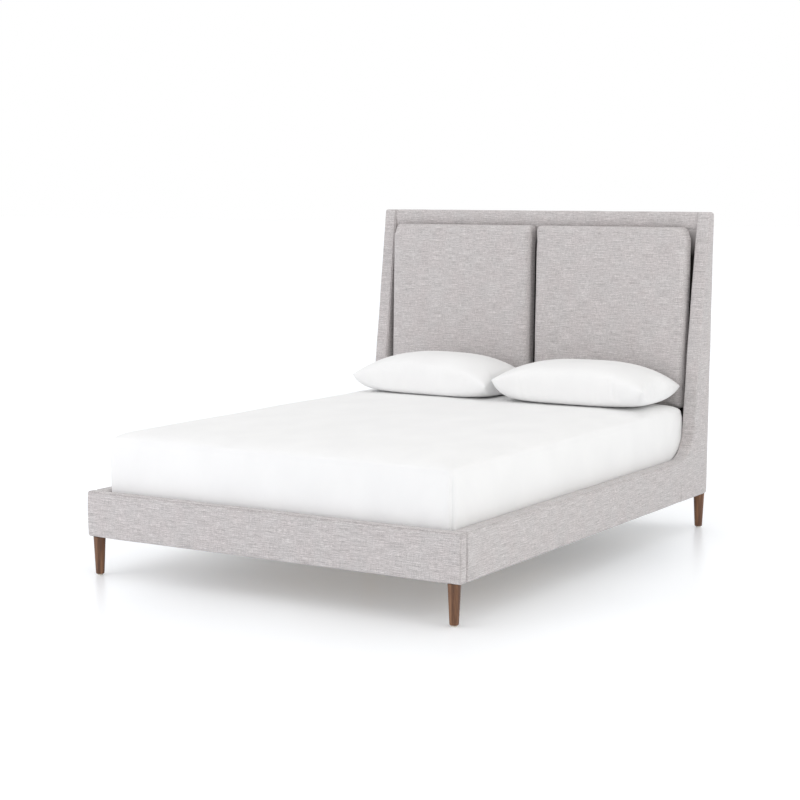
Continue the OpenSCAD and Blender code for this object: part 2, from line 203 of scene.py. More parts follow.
def plain_weave(tree, place, pitch):
    """Over and under of crossing threads, from -1 to 1."""
    split = add_node(tree, "SeparateXYZ", {0: place})
    turn = 2 * math.pi / pitch
    across = calc(tree, "SINE", calc(tree, "MULTIPLY", split.outputs[0], turn))
    along = calc(tree, "SINE", calc(tree, "MULTIPLY", split.outputs[1], turn))
    return calc(tree, "MULTIPLY", across, along)


def upholstery_fabric():
    """Light grey heathered weave with short thick places in its threads."""
    material, tree, shader = new_material(
        "upholstery_fabric",
        {"Sheen Weight": 0.30, "Sheen Roughness": 0.40, "Specular IOR Level": 0.2},
    )
    place = woven_place(tree)
    slub = noise(tree, place, (13.0, 400.0, 1.0), 1.0)
    weft = noise(tree, place, (55.0, 430.0, 1.0), 1.0)
    warp = noise(tree, place, (400.0, 32.0, 1.0), 1.0)
    yarn = noise(tree, place, (370.0, 370.0, 1.0), 2.0)
    cloud = noise(tree, place, (11.0, 8.0, 1.0), 2.0)
    weave = plain_weave(tree, place, 0.0019)
    tone = weighted(tree, [(slub, 0.27), (weft, 0.21), (warp, 0.15), (yarn, 0.37)])
    threads = ramp(
        tree,
        tone,
        [
            (0.35, (0.280, 0.262, 0.262)),
            (0.46, (0.465, 0.439, 0.436)),
            (0.54, (0.600, 0.570, 0.565)),
            (0.65, (0.83, 0.80, 0.795)),
        ],
    )
    warm = ramp(tree, cloud, [(0.38, (0.996, 1.0, 1.002)), (0.62, (1.006, 0.994, 0.996))])
    colour = mixed(tree, 1.0, threads, warm, "MULTIPLY")
    link(tree, colour, shader, "Base Color")
    roughen(tree, shader, tone, 0.95, 0.78)
    height = weighted(tree, [(weave, 0.25), (slub, 0.25), (weft, 0.25), (warp, 0.25)])
    bump(tree, shader, height, 0.0008)
    return material


# Painted shade for the gaps round the cushions: the height below which it is darkest, and the
# height where it has faded to fabric grey.
GAP_SHADE_DARK_TOP = 1.200
GAP_SHADE_TOP = 1.314


def painted_gap_shade():
    """Painted shade on the panel behind the cushions, seen only in the gaps: near-black for the
    shadow there, fading up to the fabric's own grey under the band.
    """
    material, tree, shader = new_material("painted_gap_shade", {"Specular IOR Level": 0.1})
    place = woven_place(tree)
    thread = noise(tree, place, (450.0, 700.0, 1.0), 2.0)
    dark = ramp(tree, thread, [(0.35, (0.016, 0.014, 0.013)), (0.65, (0.045, 0.040, 0.037))])
    pale = ramp(tree, thread, [(0.35, (0.44, 0.415, 0.412)), (0.65, (0.60, 0.57, 0.565))])
    height = add_node(tree, "SeparateXYZ", {0: object_place(tree)}).outputs[2]
    fade = add_node(tree, "MapRange", {0: height, 1: GAP_SHADE_DARK_TOP, 2: GAP_SHADE_TOP})
    link(tree, mixed(tree, fade.outputs[0], dark, pale), shader, "Base Color")
    roughen(tree, shader, thread, 0.98, 0.85)
    bump(tree, shader, plain_weave(tree, place, 0.0012), 0.0003)
    return material


def white_cotton(name, creases):
    """Plain white percale, with the faint creases of washed cloth."""
    material, tree, shader = new_material(
        name, {"Sheen Weight": 0.08, "Sheen Roughness": 0.5, "Specular IOR Level": 0.25}
    )
    place = woven_place(tree)
    thread = noise(tree, place, (500.0, 900.0, 1.0), 2.0)
    cloud = noise(tree, place, (6.0, 4.0, 1.0), 3.0)
    crease = noise(tree, place, (26.0, 14.0, 1.0), 5.0)
    tone = weighted(tree, [(thread, 0.35), (cloud, 0.65)])
    colour = ramp(tree, tone, [(0.3, (0.835, 0.835, 0.835)), (0.7, (0.885, 0.885, 0.883))])
    link(tree, colour, shader, "Base Color")
    roughen(tree, shader, thread, 0.82, 0.7)
    weave = plain_weave(tree, place, 0.0011)
    bump(tree, shader, weighted(tree, [(weave, 0.12), (crease, creases)]), 0.001)
    return material


def wood(name, shades, grain_axis, lacquer=0.0, fineness=1.0):
    """Timber with its grain along one axis (0, 1 or 2)."""
    material, tree, shader = new_material(
        name, {"Coat Weight": lacquer, "Coat Roughness": 0.35, "Specular IOR Level": 0.4}
    )
    place = object_place(tree)
    stretch = [70.0 * fineness] * 3
    stretch[grain_axis] = 3.5
    pores = [520.0 * fineness] * 3
    pores[grain_axis] = 14.0
    figure = noise(tree, place, stretch, 5.0)
    fine = noise(tree, place, pores, 2.0)
    tone = weighted(tree, [(figure, 0.72), (fine, 0.28)])
    colour = ramp(tree, tone, list(zip((0.36, 0.5, 0.64), shades)))
    link(tree, colour, shader, "Base Color")
    roughen(tree, shader, fine, 0.38, 0.58)
    bump(tree, shader, tone, 0.0004, 0.5)
    return material


def speckled(name, shades, roughness, lumps, metal=0.0):
    """Metal or plastic whose shade and gloss vary a little from place to place."""
    material, tree, shader = new_material(name, {"Metallic": metal})
    place = object_place(tree)
    cloud = noise(tree, place, (lumps, lumps, lumps), 4.0)
    grain = noise(tree, place, (lumps * 9, lumps * 9, lumps * 9), 2.0)
    colour = ramp(tree, cloud, list(zip((0.3, 0.7), shades)))
    link(tree, colour, shader, "Base Color")
    roughen(tree, shader, grain, *roughness)
    bump(tree, shader, grain, 0.0002, 0.3)
    return material


def strap(name, shades, pitch):
    """Ribbed black or grey strap."""
    material, tree, shader = new_material(name, {"Sheen Weight": 0.2, "Roughness": 0.9})
    place = object_place(tree)
    ribs = plain_weave(tree, place, pitch)
    fuzz = noise(tree, place, (600.0, 600.0, 600.0), 2.0)
    tone = weighted(tree, [(ribs, 0.2), (fuzz, 0.8)])
    link(tree, ramp(tree, tone, list(zip((0.2, 0.8), shades))), shader, "Base Color")
    bump(tree, shader, tone, 0.0006)
    return material


FABRIC = upholstery_fabric()
# Painted shade colour for the gaps behind the cushions.
GAP_SHADE = painted_gap_shade()
SHEET_COTTON = white_cotton("white_cotton_sheet", 0.25)
PILLOW_COTTON = white_cotton("white_cotton_pillow", 0.35)
WALNUT_SHADES = ((0.066, 0.026, 0.010), (0.132, 0.057, 0.025), (0.232, 0.111, 0.052))
PINE_SHADES = ((0.46, 0.30, 0.15), (0.62, 0.44, 0.25), (0.72, 0.55, 0.34))
PLY_SHADES = ((0.52, 0.37, 0.22), (0.66, 0.50, 0.32), (0.76, 0.62, 0.43))
WALNUT = wood("walnut", WALNUT_SHADES, 2, lacquer=0.15, fineness=1.2)
PINE = [wood("timber_along_" + "xyz"[axis], PINE_SHADES, axis) for axis in range(3)]
PLYWOOD = wood("plywood", PLY_SHADES, 2)
STEEL = speckled("zinc_steel", ((0.50, 0.51, 0.53), (0.66, 0.67, 0.68)), (0.28, 0.42), 60.0, 1.0)
NYLON = speckled("nylon", ((0.60, 0.57, 0.50), (0.70, 0.67, 0.60)), (0.35, 0.5), 120.0)
WEBBING = strap("webbing", ((0.02, 0.02, 0.022), (0.09, 0.09, 0.095)), 0.0025)
HOOK_LOOP = strap("hook_and_loop", ((0.01, 0.01, 0.01), (0.05, 0.05, 0.05)), 0.0015)
TICKING = white_cotton("mattress_ticking", 0.9)


# ---- Making pieces ---------------------------------------------------------------------------


def unit(vector):
    return vector / np.linalg.norm(vector)


def lay_weave(mesh):
    """A UV map in metres, laid over each face from the side it mostly looks to."""
    faces = len(mesh.polygons)
    corners = len(mesh.loops)
    normals = np.empty(faces * 3)
    mesh.polygons.foreach_get("normal", normals)
    sizes = np.empty(faces, np.int32)
    mesh.polygons.foreach_get("loop_total", sizes)
    vertex_of = np.empty(corners, np.int32)
    mesh.loops.foreach_get("vertex_index", vertex_of)
    side = np.repeat(np.abs(normals.reshape(-1, 3)).argmax(axis=1), sizes)
    points = read_points(mesh)[vertex_of]
    rows = np.arange(corners)
    across = points[rows, np.array([1, 0, 0])[side]]
    up = points[rows, np.array([2, 2, 1])[side]]
    layer = mesh.uv_layers.get("weave") or mesh.uv_layers.new(name="weave")
    layer.data.foreach_set("uv", np.stack([across, up], axis=1).astype(np.float32).ravel())


def read_points(mesh):
    points = np.empty(len(mesh.vertices) * 3, np.float32)
    mesh.vertices.foreach_get("co", points)
    return points.reshape(-1, 3).astype(float)


def write_points(mesh, points):
    mesh.vertices.foreach_set("co", points.astype(np.float32).ravel())
    mesh.update()


def new_mesh(name, points, faces):
    mesh = bpy.data.meshes.new(name)
    mesh.from_pydata([tuple(p) for p in points], [], faces)
    mesh.update()
    return mesh


def new_object(name, mesh):
    piece = bpy.data.objects.new(name, mesh)
    bpy.context.scene.collection.objects.link(piece)
    return piece


def finish_piece(name, mesh, material, slot, body, *stands_for):
    """Puts a finished mesh in the scene as a piece, with its material, weave and body."""
    mesh.polygons.foreach_set("use_smooth", np.ones(len(mesh.polygons), bool))
    mesh.materials.clear()
    mesh.materials.append(material)
    lay_weave(mesh)
    piece = new_object(name, mesh)
    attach(piece, body)
    if stands_for:
        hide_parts(*stands_for)
    return piece


def upholster(node, name, mesh):
    """Finishes a padded fabric skin on the frame, in place of a CAD node."""
    piece = finish_piece(name, mesh, FABRIC, "upholstery_fabric", "frame", node)


def ripples(points, wavelength, height, seed):
    """Slow unevenness over points: a few waves that run in different directions."""
    random = np.random.default_rng(seed)
    directions = random.normal(size=(9, 3))
    directions /= np.linalg.norm(directions, axis=1)[:, None]
    turns = 2 * math.pi / wavelength * random.uniform(0.6, 1.6, 9)
    phases = random.uniform(0, 2 * math.pi, 9)
    return height * np.sin(points @ (directions * turns[:, None]).T + phases).sum(axis=1) / 3


def seam_dip(distance, size=1.0):
    """How far cloth sinks at a seam, by the distance from the stitching."""
    distance = distance / size
    groove = np.exp(-((distance / SEAM_WIDTH) ** 2))
    lip = np.exp(-(((np.abs(distance) - SEAM_LIP_OUT) / SEAM_WIDTH / 1.6) ** 2))
    return size * (SEAM_LIP * lip - SEAM_DEPTH * groove)


PLAIN_ARC = np.linspace(0, 1, 7)
SEAM_ARC = np.array([0, 0.16, 0.3, 0.4, 0.45, 0.5, 0.55, 0.6, 0.7, 0.84, 1])


def soft_corner(previous, corner, following, radius, seamed):
    """The points, outward normals and distances from the seam round one soft corner."""
    before = unit(previous - corner)
    after = unit(following - corner)
    half = math.acos(np.clip(before @ after, -1, 1)) / 2
    reach = radius / math.tan(half)
    centre = corner + unit(before + after) * radius / math.sin(half)
    start = unit(corner + before * reach - centre)
    end = unit(corner + after * reach - centre)
    fractions = SEAM_ARC if seamed else PLAIN_ARC
    swing = math.pi - 2 * half
    normals = [
        unit(start * math.sin((1 - t) * swing) + end * math.sin(t * swing)) for t in fractions
    ]
    spread = np.full(len(fractions), NO_SEAM_NEAR)
    if seamed:
        spread = (fractions - 0.5) * radius * swing
    return [centre + radius * n for n in normals], normals, spread


def outline(corners, radii, cuts, seamed=(), crowns=None, seam_size=1.0):
    """Points, outward normals and heights round an anticlockwise polygon with soft corners.

    cuts is the number of steps along each side, or their fractions; seamed are the corners with
    a seam; crowns is how far each side stands out in its middle."""
    corners = [np.array(c, float) for c in corners]
    count = len(corners)
    crowns = crowns or [0] * count
    arcs = []
    for i, corner in enumerate(corners):
        following = corners[(i + 1) % count]
        arcs.append(soft_corner(corners[i - 1], corner, following, radii[i], i in seamed))
    points, normals, heights = [], [], []
    for i, (arc, directions, spread) in enumerate(arcs):
        points += arc
        normals += directions
        heights += list(seam_dip(spread, seam_size))
        start = arc[-1]
        end = arcs[(i + 1) % count][0][0]
        steps = np.linspace(0, 1, cuts[i] + 1)[1:-1] if np.isscalar(cuts[i]) else cuts[i]
        points += [start + (end - start) * t for t in steps]
        normals += [directions[-1]] * len(steps)
        heights += [crowns[i] * math.sin(math.pi * t) for t in steps]
    return np.array(points), np.array(normals), np.array(heights)


def volume(points, faces):
    """The space that faces enclose; negative when they look inwards."""
    total = 0.0
    for face in faces:
        corners = points[list(face)]
        fans = np.cross(corners[1:-1], corners[2:])
        total += (fans @ corners[0]).sum() / 6
    return total


def loft(name, rings):
    """A closed skin through rings of points, capped at both ends and facing outwards."""
    count = len(rings[0])
    faces = []
    for r in range(len(rings) - 1):
        for i in range(count):
            j = (i + 1) % count
            faces.append((r * count + i, r * count + j, (r + 1) * count + j, (r + 1) * count + i))
    last = (len(rings) - 1) * count
    faces.append(tuple(range(count - 1, -1, -1)))
    faces.append(tuple(range(last, last + count)))
    points = np.concatenate(rings)
    if volume(points, faces) < 0:
        faces = [face[::-1] for face in faces]
    return new_mesh(name, points, faces)


def end_rounding(radius, seamed=False):
    """(distance from the end, inset, dip) down the rounded end of a skin."""
    fractions = SEAM_ARC if seamed else np.linspace(0, 1, 6)
    angles = fractions * math.pi / 2
    spread = (fractions - 0.5) * radius * math.pi / 2
    dips = seam_dip(spread) if seamed else np.zeros(len(fractions))
    return [
        (radius * (1 - math.sin(a)), radius * (1 - math.cos(a)), dip)
        for a, dip in zip(angles, dips)
    ][::-1]


def stations(start, end, radius, step, seamed=(False, False)):
    """(place, inset, dip) of every ring along a straight skin with two rounded ends.

    radius is that of both ends, or a pair."""
    first, last = np.broadcast_to(radius, 2)
    head = end_rounding(first, seamed[0])
    tail = end_rounding(last, seamed[1])
    count = int((end - start - first - last) / step)
    middle = np.linspace(start + first, end - last, count + 1)[1:-1]
    rows = [(start + d, inset, dip) for d, inset, dip in head]
    rows += [(m, 0.0, 0.0) for m in middle]
    rows += [(end - d, inset, dip) for d, inset, dip in tail[::-1]]
    return rows


def straight_skin(name, section, rows, place, seed, wave=0.0005):
    """A skin of one section run along a line; place(points, s) stands a section up at s."""
    points, normals, heights = section
    rings = []
    for s, inset, dip in rows:
        ring = place(points + normals * (heights + dip - inset)[:, None], s)
        outward = place(points + normals, s) - place(points, s)
        rings.append(ring + outward * ripples(ring, 0.22, wave, seed)[:, None])
    return loft(name, rings)


def across_bed(points, x):
    """Stands a section of (y, z) points up at a place across the bed."""
    return np.column_stack([np.full(len(points), x), points])


# ---- Rails -----------------------------------------------------------------------------------


def foot_rail():
    """The padded rail across the foot end, seamed along its top edge and its right end."""
    section = outline(
        [
            (foot_low.y, foot_low.z),
            (foot_high.y, foot_low.z),
            (foot_high.y, foot_high.z),
            (foot_low.y, foot_high.z),
        ],
        [EDGE_RADIUS] * 4,
        [3, 10, 3, 12],
        seamed=(3,),
        crowns=(0, 0, 0.0008, 0.002),
        seam_size=FOOT_SEAM_SIZE,
    )
    rows = stations(foot_low.x, foot_high.x, EDGE_RADIUS, STEP, (False, True))
    mesh = straight_skin("foot_rail", section, rows, across_bed, 11)
    upholster("foot_rail_upholstery", "fabric_foot_rail", mesh)


def side_rail(side, label):
    """A padded side rail; its sunk front end makes the dark joint with the foot rail."""
    section = outline(
        [
            (SIDE_IN, RAIL_BOTTOM),
            (SIDE_IN + SIDE_THICKNESS, RAIL_BOTTOM),
            (SIDE_IN + SIDE_THICKNESS, RAIL_TOP),
            (SIDE_IN, RAIL_TOP),
        ],
        [EDGE_RADIUS] * 4,
        [3, 12, 3, 10],
        seamed=(2,),
        crowns=(0, 0.002, 0.0008, 0),
    )
    sunk_end = (rail_low.y, FOOT_JOINT_RADIUS, 0.0)
    radii = (FOOT_JOINT_RADIUS, WING_JOINT_RADIUS)
    rows = [sunk_end] + stations(rail_low.y + FOOT_JOINT_GAP, rail_high.y, radii, STEP)

    def place(points, y):
        return np.column_stack([side * points[:, 0], np.full(len(points), y), points[:, 1]])

    mesh = straight_skin("side_rail", section, rows, place, 23)
    upholster("side_rail_upholstery_" + label, "fabric_side_rail_" + label, mesh)


# ---- Wings -----------------------------------------------------------------------------------


def walk(points, distance):
    """The point at a distance along a path."""
    points = np.array(points)
    steps = np.linalg.norm(np.diff(points, axis=0), axis=1)
    reached = np.concatenate([[0], np.cumsum(steps)])
    return np.array([np.interp(distance, reached, points[:, k]) for k in range(2)])


def wing_fan():
    """Rings that fan round the sweep, from the joint with the rail, as wing_rings() has them."""
    centre = np.array([JOINT_Y, RAIL_TOP + SWEEP_RADIUS])
    sweep_angles = np.linspace(-math.pi / 2, -WING_LEAN, 61)
    sweep = [centre + SWEEP_RADIUS * np.array([math.cos(a), math.sin(a)]) for a in sweep_angles]
    fan_top = sweep[-1][1]
    corner = np.array([back_y(RAIL_BOTTOM), RAIL_BOTTOM])
    soft = WING_HEEL_RADIUS
    bend = [
        corner + soft * np.array([-1 + math.sin(a), 1 - math.cos(a)])
        for a in np.linspace(0, math.pi / 2, 7)
    ]
    back = [np.array([JOINT_Y, RAIL_BOTTOM]), *bend, np.array([back_y(fan_top), fan_top])]
    front_length = SWEEP_RADIUS * (math.pi / 2 - WING_LEAN)
    to_corner = corner[0] - soft - JOINT_Y
    back_length = to_corner + soft * math.pi / 2 + fan_top - RAIL_BOTTOM - soft
    rings = []
    for d, inset, _ in end_rounding(WING_JOINT_RADIUS):
        rings.append((walk(sweep, d), walk(back, d), inset))
    shares = np.concatenate(
        [
            np.linspace(0.02, to_corner / back_length, 17)[:-1],
            np.linspace(to_corner, to_corner + soft * math.pi / 2, 7) / back_length,
            np.linspace((to_corner + soft * math.pi / 2) / back_length, 1, 18)[1:],
        ]
    )
    first = WING_JOINT_RADIUS
    for share in shares:
        front_at = first + share * (front_length - first)
        back_at = first + share * (back_length - first)
        rings.append((walk(sweep, front_at), walk(back, back_at), 0.0))
    return rings


def wing_crest():
    """Rings over the wing's soft top, whose back corner is rounder than its other edges."""
    rings = []
    for t in np.linspace(0, 1, 10):
        down = WING_CORNER_RADIUS * (1 - math.sin(t * math.pi / 2))
        z = BED_TOP - down
        back_in = WING_CORNER_RADIUS * (1 - math.cos(t * math.pi / 2))
        edge_in = EDGE_RADIUS - math.sqrt(EDGE_RADIUS**2 - max(0.0, EDGE_RADIUS - down) ** 2)
        front = np.array([wing_front_y(z) + edge_in * WING_CREST_DRAW, z])
        rings.append((front, np.array([back_y(z) - back_in, z]), edge_in))
    return rings


def wing_rings():
    """(front point, back point, inset) as [y, z], from the joint with the rail to the top."""
    fan = wing_fan()
    fan_top = fan[-1][0][1]
    straight = [
        (np.array([wing_front_y(z), z]), np.array([back_y(z), z]), 0.0)
        for z in np.arange(fan_top + STEP, BED_TOP - WING_CORNER_RADIUS - STEP / 4, STEP)
    ]
    return fan + straight + wing_crest()


def wing(side, label):
    """A padded wing, which runs by a sweep into its side rail."""
    rings = []
    for front, back, inset in wing_rings():
        along = unit(back - front)
        length = np.linalg.norm(back - front)
        rise = np.clip((front[1] - RAIL_TOP) / (BED_TOP - RAIL_TOP), 0, 1)
        inner = -WING_PUFF * math.sin(math.pi * rise) ** 0.6
        points, normals, heights = outline(
            [(0, inner), (length, inner), (length, SIDE_THICKNESS), (0, SIDE_THICKNESS)],
            [EDGE_RADIUS] * 4,
            [14, 3, 14, 3],
            seamed=(0,),
            crowns=(0.0005, 0, 0.0015, 0.001),
        )
        points = points + normals * (heights - inset)[:, None]
        ring = np.column_stack(
            [
                side * (SIDE_IN + points[:, 1]),
                front[0] + along[0] * points[:, 0],
                front[1] + along[1] * points[:, 0],
            ]
        )
        outward = np.column_stack(
            [side * normals[:, 1], along[0] * normals[:, 0], along[1] * normals[:, 0]]
        )
        rings.append(ring + outward * ripples(ring, 0.24, 0.0005, 37)[:, None])
    upholster("wing_upholstery_" + label, "fabric_wing_" + label, loft("wing", rings))


# ---- Headboard panel and its back ------------------------------------------------------------

BAND_BOTTOM = 1.318
BAND_PUFF = 0.009
BAND_SHARE = 0.085
PANEL_EDGE_RADIUS = 0.008
PANEL_END_RADIUS = 0.0015
PANEL_END_GAP = 0.0003
COVER_EDGE_RADIUS = 0.0018
COVER_END_RADIUS = 0.0009
COVER_GAP = 0.0002


def band_puff(z):
    """How far the bare band over the cushions stands out in front of the panel."""
    t = np.clip((z - BAND_BOTTOM) / (BED_TOP - BAND_BOTTOM), 0, 1)
    return BAND_PUFF * np.sin(math.pi * t) ** 0.7


def headboard_rows(radius):
    """Places of the rings across the headboard, from wing to wing."""
    return stations(-SIDE_IN + PANEL_END_GAP, SIDE_IN - PANEL_END_GAP, radius, STEP)


def headboard_section(front_depth, back_depth, radius, cuts):
    """A slab between two depths in front of the sloping back; cuts are those of its front."""
    low, high = RAIL_BOTTOM, BED_TOP
    return outline(
        [
            (back_y(low) - front_depth, low),
            (back_y(low) - back_depth, low),
            (back_y(high) - back_depth, high),
            (back_y(high) - front_depth, high),
        ],
        [radius / 2, radius / 2, radius / 2, radius],
        [2, 24, 2, cuts],
    )


def headboard_panel():
    """The padded panel between the wings, faced with painted shade where the cushions cover it."""
    near_top = np.linspace(0, BAND_SHARE, 22)[1:]
    below = np.linspace(BAND_SHARE, 1, 50)[1:-1]
    points, normals, heights = headboard_section(
        PANEL_THICKNESS, COVER_THICKNESS, PANEL_EDGE_RADIUS, np.concatenate([near_top, below])
    )
    forward = np.where(normals[:, 0] < -0.3, band_puff(points[:, 1]), 0.0)
    section = (points - np.column_stack([forward, np.zeros(len(forward))]), normals, heights)
    rows = headboard_rows(PANEL_END_RADIUS)
    mesh = straight_skin("panel", section, rows, across_bed, 41, wave=0.0006)
    piece = finish_piece(
        "fabric_headboard", mesh, FABRIC, "upholstery_fabric", "frame", "headboard_upholstery"
    )
    # Painted shade: the panel's front faces below the band, behind the cushions, take the
    # near-black gap shade as a second material.
    piece.data.materials.append(GAP_SHADE)
    for face in piece.data.polygons:
        if face.normal.y < -0.9 and face.center.z < GAP_SHADE_TOP:
            face.material_index = 1


def headboard_back():
    """The cloth stretched over the headboard's back."""
    section = headboard_section(COVER_THICKNESS - COVER_GAP, 0.0, COVER_EDGE_RADIUS, 24)
    rows = headboard_rows(COVER_END_RADIUS)
    mesh = straight_skin("back_cover", section, rows, across_bed, 43, wave=0.0003)
    piece = finish_piece(
        "fabric_headboard_back", mesh, FABRIC, "upholstery_fabric", "frame", "headboard_back_cover"
    )


# ---- Headboard cushions ----------------------------------------------------------------------

CUSHION_CHAMFER = (0.020, 0.055)
CUSHION_CORNER_RADII = [0.020, 0.020, 0.050, 0.026, 0.020]
CUSHION_EDGE = 0.015
CUSHION_TOP_LIFT = 0.004
CUSHION_TUCK = 0.03
CUSHION_START_INSET = 0.0015
CUSHION_FRONT_CAP = 0.011
CUSHION_FRONT_RISE = CUSHION_FRONT_CAP * 0.7
CUSHION_SIDE_CAP = 0.003
CUSHION_VOXEL = 0.0065
CUSHION_BACK_SEAM_IN = 0.016
CUSHION_FRONT_SEAM_IN = 0.012
CUSHION_SEAM_LOOPS = (-0.0045, -0.0022, -0.001, 0.0, 0.001, 0.0022, 0.0045)


def simulate(mesh, pressure, frames, stiffness, bending):
    """The points of a closed mesh after its cloth has been blown up with no gravity."""
    blown = new_object("blown", mesh)
    cloth = blown.modifiers.new("cloth", "CLOTH")
    settings = cloth.settings
    settings.quality = 5
    settings.mass = 0.3
    settings.tension_stiffness = stiffness
    settings.compression_stiffness = stiffness
    settings.shear_stiffness = 5
    settings.bending_stiffness = bending
    settings.use_pressure = True
    settings.uniform_pressure_force = pressure
    settings.effector_weights.gravity = 0
    cloth.collision_settings.use_collision = False
    scene = bpy.context.scene
    for number in range(1, frames + 1):
        scene.frame_set(number)
    evaluated = blown.evaluated_get(bpy.context.evaluated_depsgraph_get())
    points = read_points(evaluated.data)
    bpy.data.objects.remove(blown)
    scene.frame_set(1)
    return points


def baked(mesh, kind, **settings):
    """A copy of a mesh with one modifier applied."""
    holder = new_object("holder", mesh)
    modifier = holder.modifiers.new("step", kind)
    for key, value in settings.items():
        setattr(modifier, key, value)
    evaluated = holder.evaluated_get(bpy.context.evaluated_depsgraph_get())
    result = bpy.data.meshes.new_from_object(evaluated)
    bpy.data.objects.remove(holder)
    return result


def sew_round(mesh, depth):
    """Sinks a seam round a cushion's sides, at a depth in front of its back at y = 0."""
    shape = bmesh.new()
    shape.from_mesh(mesh)
    for offset in CUSHION_SEAM_LOOPS:
        everything = shape.verts[:] + shape.edges[:] + shape.faces[:]
        cut_at = Vector((0, -depth - offset, 0))
        bmesh.ops.bisect_plane(
            shape, geom=everything, plane_co=cut_at, plane_no=Vector((0, 1, 0)), dist=2e-4
        )
    shape.normal_update()
    reach = CUSHION_SEAM_LOOPS[-1] + 1e-4
    near = [v for v in shape.verts if abs(v.co.y + depth) <= reach]
    moves = [v.normal * float(seam_dip(v.co.y + depth)) for v in near]
    for v, move in zip(near, moves):
        v.co += move
    shape.to_mesh(mesh)
    shape.free()


def back_of_cushion(z):
    """The plane that the cushions rest against, in front of their fastener strips."""
    return back_y(z) - PANEL_THICKNESS - STRIP_THICKNESS


def cushion_block(side, low, high, thickness):
    """A cushion before it is filled, with its back in the plane y = 0."""
    bottom, top = low.z - CUSHION_TUCK, high.z + CUSHION_TOP_LIFT
    chamfer_x, chamfer_z = CUSHION_CHAMFER
    points, normals, _ = outline(
        [
            (low.x, bottom),
            (high.x, bottom),
            (high.x, top - chamfer_z),
            (high.x - chamfer_x, top),
            (low.x, top),
        ],
        CUSHION_CORNER_RADII,
        [60, 50, 4, 58, 60],
    )
    rings = []
    for depth, inset, _ in stations(0, thickness, CUSHION_EDGE, 0.01):
        flat = points - normals * (inset + CUSHION_START_INSET)
        rings.append(np.column_stack([side * flat[:, 0], np.full(len(flat), -depth), flat[:, 1]]))
    return baked(loft("cushion", rings), "REMESH", mode="VOXEL", voxel_size=CUSHION_VOXEL)


def fill_cushion(mesh):
    """Blows a cushion up, with a limit to how far its front and its sides move."""
    start = read_points(mesh)
    move = simulate(mesh, pressure=4.0, frames=20, stiffness=15, bending=0.5) - start
    move[:, 0] = np.clip(move[:, 0], -CUSHION_SIDE_CAP, CUSHION_SIDE_CAP)
    move[:, 2] = np.clip(move[:, 2], -CUSHION_SIDE_CAP, CUSHION_SIDE_CAP)
    move[:, 1] = np.maximum(move[:, 1], -CUSHION_FRONT_CAP)
    points = start + move
    points[:, 1] = np.minimum(points[:, 1], 0)
    write_points(mesh, points)


def cushion(side, label):
    """One of the two cushions, filled, seamed and leant on the headboard."""
    low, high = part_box("cushion_right")
    thickness = back_of_cushion(low.z - CUSHION_TUCK) - low.y - CUSHION_FRONT_RISE
    mesh = cushion_block(side, low, high, thickness)
    fill_cushion(mesh)
    mesh = baked(mesh, "SUBSURF", levels=1)
    for seam_depth in (CUSHION_BACK_SEAM_IN, thickness - CUSHION_FRONT_SEAM_IN):
        sew_round(mesh, seam_depth)
    points = read_points(mesh)
    in_front = np.clip((-points[:, 1] - thickness / 2) / (thickness / 2), 0, 1)
    points[:, 1] -= in_front * ripples(points, 0.3, 0.0008, 53)
    points[:, 1] += back_of_cushion(points[:, 2])
    write_points(mesh, points)
    upholster("cushion_" + label, "fabric_cushion_" + label, mesh)


# ---- Mattress and sheet ----------------------------------------------------------------------

CORE_INSET = 0.006
CORE_CORNER_RADIUS = 0.055
CORE_EDGE_RADIUS = 0.05
CORE_LIFT = 0.0017
CORE_TOP_DROP = 0.034

SHEET_CORNER_RADIUS = 0.018
SHEET_CORNER_GROWTH = 0.7
SHEET_INSET = 0.0015
SHEET_LIFT = 0.0002
SHEET_THICKNESS = 0.0012
SHEET_UNDER = 0.11
SHEET_CROWN_DROP = 0.008
SHEET_SHOULDER = 0.052
SHEET_SHOULDER_POWERS = (9.5, 0.38)
SHEET_EDGE_REACH = 0.12
SHEET_STEP = 0.014
SHEET_HEM = 0.009
SHEET_SEAM = 0.75
SHEET_BELLY = 0.011
SHEET_HEAD_BELLY_LOSS = 0.7
PULL_REACH = 0.22
PULL_SPACING = 0.062
PULL_DEPTH = 0.0011
SLACK_SPACING = 0.21
SLACK_DEPTH = 0.0004


def slab_outline(inset, radius):
    """The mattress's plan drawn in by an inset, with as many points whatever the inset."""
    low = (mattress_low.x + inset, mattress_low.y + inset)
    high = (mattress_high.x - inset, mattress_high.y - inset)
    across = int((mattress_high.x - mattress_low.x) / SHEET_STEP)
    along = int((mattress_high.y - mattress_low.y) / SHEET_STEP)
    return outline(
        [low, (high[0], low[1]), high, (low[0], high[1])],
        [radius] * 4,
        [across, along, across, along],
        seamed=(0, 1, 2, 3),
        seam_size=3.0,
    )


def mattress_core():
    """The mattress inside its sheet."""
    points, normals, _ = slab_outline(CORE_INSET, CORE_CORNER_RADIUS)
    bottom = mattress_low.z + CORE_LIFT
    top = mattress_high.z - CORE_TOP_DROP
    rows = stations(bottom, top, CORE_EDGE_RADIUS, 0.03)
    rings = [
        np.column_stack([points - normals * inset, np.full(len(points), z)])
        for z, inset, _ in rows
    ]
    mesh = loft("mattress_core", rings)
    piece = finish_piece("mattress_core", mesh, TICKING, "white_cotton", "mattress")


def shoulder_z(inset):
    """The sheet's height over the mattress's edge: a crowned top that rolls into the side."""
    flatness, tightness = SHEET_SHOULDER_POWERS
    out = 1 - inset / mattress_high.x
    fall = (1 - out**flatness) ** tightness
    return mattress_high.z - SHEET_CROWN_DROP - SHEET_SHOULDER * (1 - fall)


